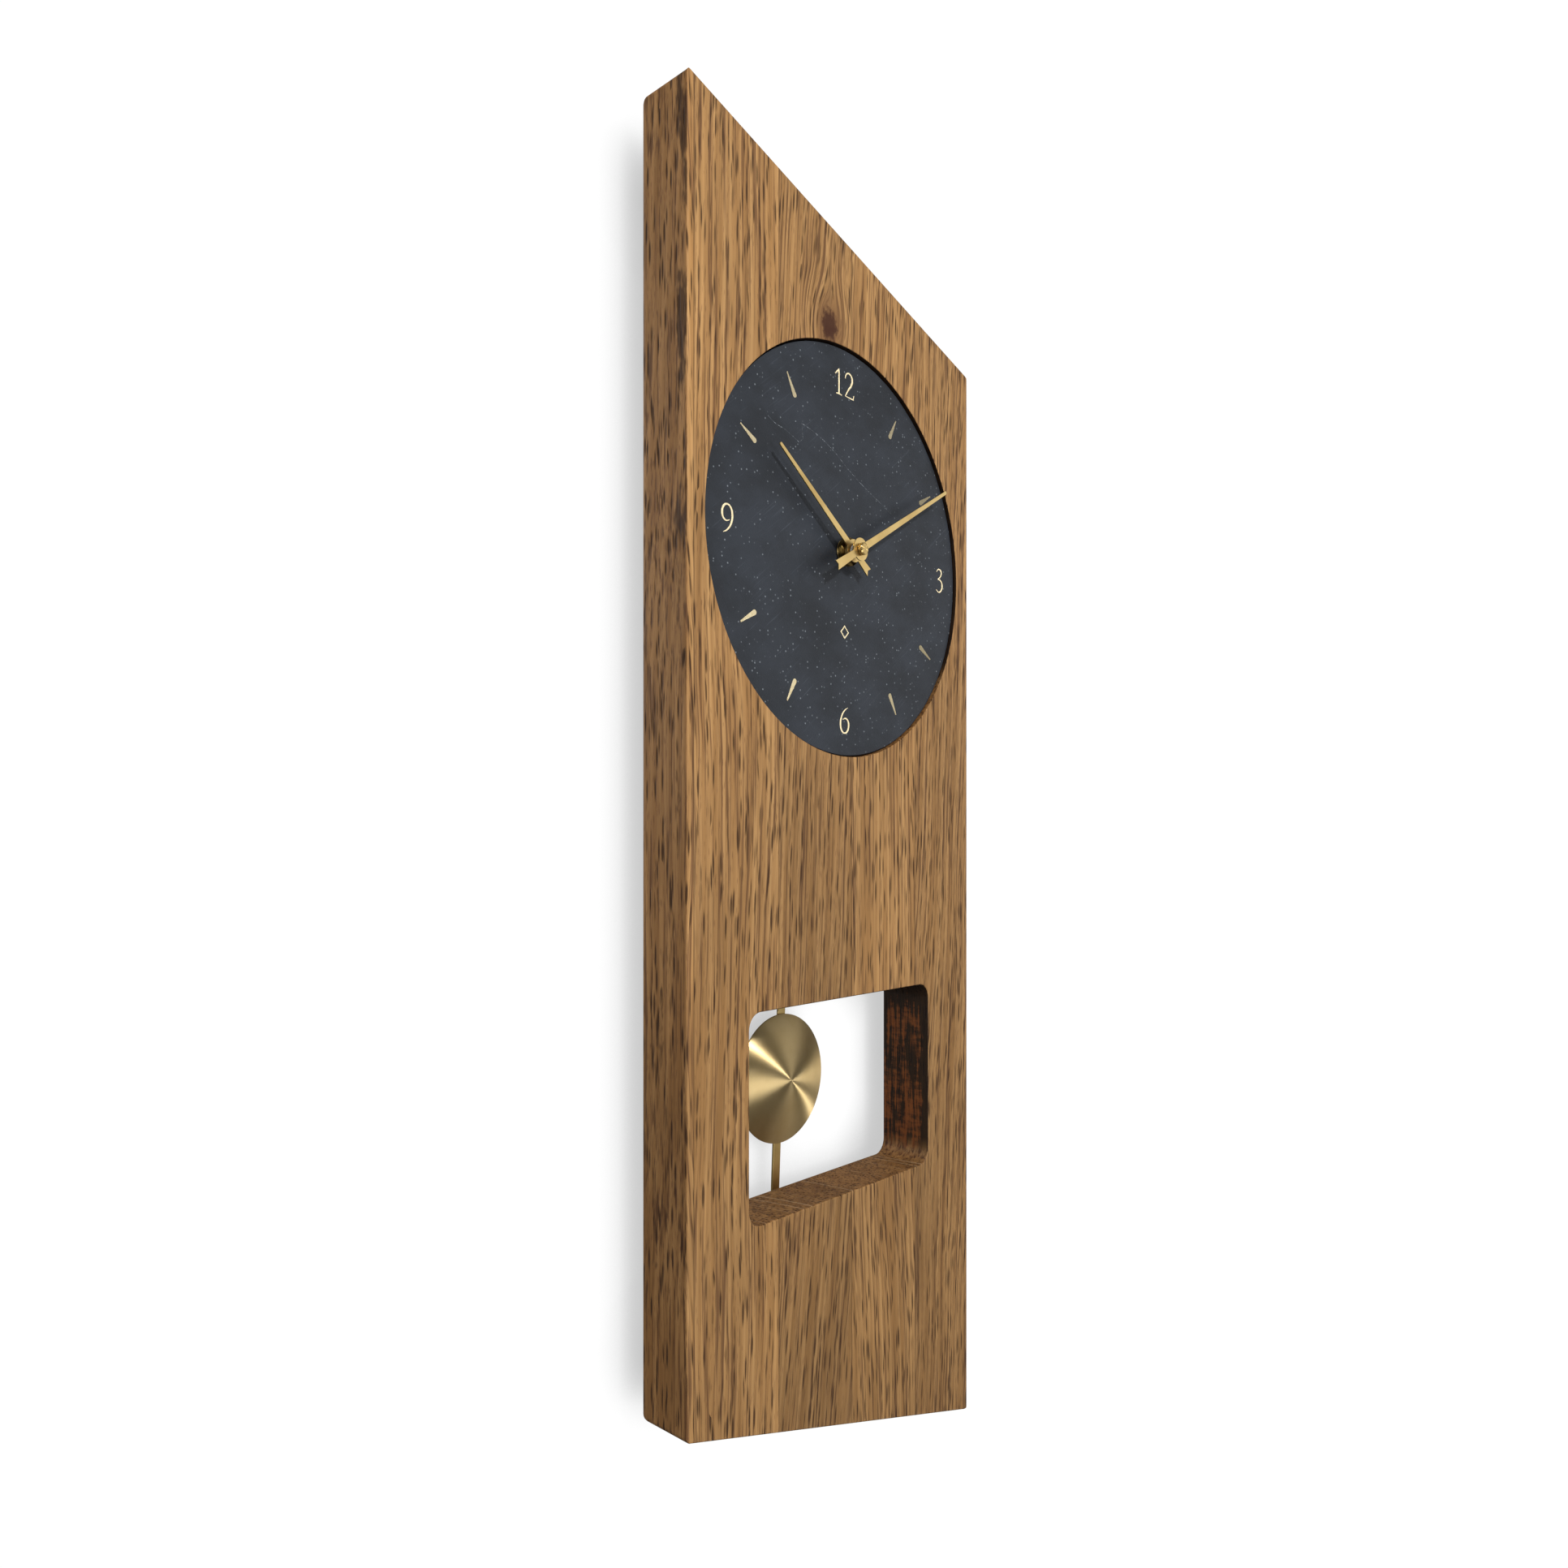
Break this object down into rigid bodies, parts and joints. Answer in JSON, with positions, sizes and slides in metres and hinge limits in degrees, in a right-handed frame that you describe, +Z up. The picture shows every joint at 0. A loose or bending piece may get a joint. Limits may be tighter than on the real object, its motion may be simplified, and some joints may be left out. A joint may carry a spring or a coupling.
{
  "type": "wall clock",
  "caption": "Upright oak wall clock with sloping ends, round slate dial, brass hands and a domed brass pendulum in a rectangular window.",
  "frame": {"origin": "on the wall, at the middle of the screw that the keyhole hanger hangs on", "axes": "+X to the right seen from the front, +Y from the dial towards the wall, +Z up"},
  "size_m": [0.2, 0.0476, 0.5784],
  "materials": {
    "oak": "oiled",
    "slate": "matt stone",
    "brass": "satin, spun or brushed",
    "steel": "plain",
    "black_plastic": "moulded",
    "white_plastic": "moulded",
    "rubber": "matt",
    "copper": "enamelled wire",
    "circuit": "laminate",
    "cell": "printed sleeve",
    "felt": "felt"
  },
  "bodies": {
    "case": {"oak_case": "oak", "slate_dial": "slate", "dial_washer": "brass", "centre_nut": "brass", "rubber_washer": "rubber", "movement_housing": "black_plastic", "rear_cover": "black_plastic", "centre_bush": "brass", "train_plate": "white_plastic", "plate_screw_1": "steel", "plate_screw_2": "steel", "plate_screw_3": "steel", "cover_screw_1": "steel", "cover_screw_2": "steel", "stator": "steel", "motor_core": "steel", "motor_coil": "copper", "circuit_board": "circuit", "coil_bobbin": "white_plastic", "drive_coil": "copper", "cell": "cell", "contact_positive": "steel", "contact_negative": "steel", "pivot_pin": "steel", "hanger_plate": "steel", "hanger_screw_1": "steel", "hanger_screw_2": "steel", "wall_spacer_1": "oak", "wall_spacer_2": "oak", "wall_spacer_3": "oak", "wall_spacer_4": "oak", "felt_pad_1": "felt", "felt_pad_2": "felt", "felt_pad_3": "felt", "felt_pad_4": "felt"},
    "minute": {"minute_arbor": "steel", "minute_hand": "brass", "hand_cap": "brass"},
    "hour": {"hour_wheel": "white_plastic", "hour_hand": "brass"},
    "motion": {"motion_wheel": "white_plastic", "setting_knob": "white_plastic"},
    "centre": {"centre_wheel": "brass"},
    "third": {"third_wheel": "brass"},
    "seconds": {"seconds_wheel": "white_plastic"},
    "fifth": {"fifth_wheel": "white_plastic"},
    "rotor": {"rotor": "white_plastic", "rotor_magnet": "steel"},
    "pendulum": {"pendulum_leader": "white_plastic", "leader_magnet": "steel", "pendulum_rod": "brass", "pendulum_bob": "brass", "bob_clip": "steel"}
  },
  "joints": [
    {"name": "minute_turn", "type": "hinge", "parent": "case", "child": "minute", "pos_m": [0, -0.038, -0.086], "axis": [0, 1, 0], "continuous": true},
    {"name": "hour_turn", "type": "hinge", "parent": "case", "child": "hour", "pos_m": [0, -0.038, -0.086], "axis": [0, 1, 0], "continuous": true},
    {"name": "motion_turn", "type": "hinge", "parent": "case", "child": "motion", "pos_m": [0.00933, -0.0232, -0.07667], "axis": [0, 1, 0], "continuous": true},
    {"name": "seconds_turn", "type": "hinge", "parent": "case", "child": "seconds", "pos_m": [-0.01508, -0.0162, -0.08715], "axis": [0, 1, 0], "continuous": true},
    {"name": "centre_turn", "type": "hinge", "parent": "case", "child": "centre", "pos_m": [0, -0.0204, -0.086], "axis": [0, 1, 0], "continuous": true},
    {"name": "third_turn", "type": "hinge", "parent": "case", "child": "third", "pos_m": [-0.00914, -0.019, -0.07686], "axis": [0, 1, 0], "continuous": true},
    {"name": "fifth_turn", "type": "hinge", "parent": "case", "child": "fifth", "pos_m": [-0.01508, -0.0162, -0.09555], "axis": [0, 1, 0], "continuous": true},
    {"name": "rotor_turn", "type": "hinge", "parent": "case", "child": "rotor", "pos_m": [-0.00986, -0.0162, -0.10178], "axis": [0, 1, 0], "continuous": true},
    {"name": "pendulum_swing", "type": "hinge", "parent": "case", "child": "pendulum", "pos_m": [0, -0.0091, -0.116], "axis": [0, 1, 0], "range_deg": [-10.95, 5.05]}
  ],
  "couplings": [
    {"joint": "hour_turn", "follows": "minute_turn", "ratio": 0.083333},
    {"joint": "motion_turn", "follows": "minute_turn", "ratio": -0.33333},
    {"joint": "centre_turn", "follows": "seconds_turn", "ratio": 0.016667},
    {"joint": "third_turn", "follows": "seconds_turn", "ratio": -0.125},
    {"joint": "fifth_turn", "follows": "seconds_turn", "ratio": -5},
    {"joint": "rotor_turn", "follows": "seconds_turn", "ratio": 30}
  ]
}
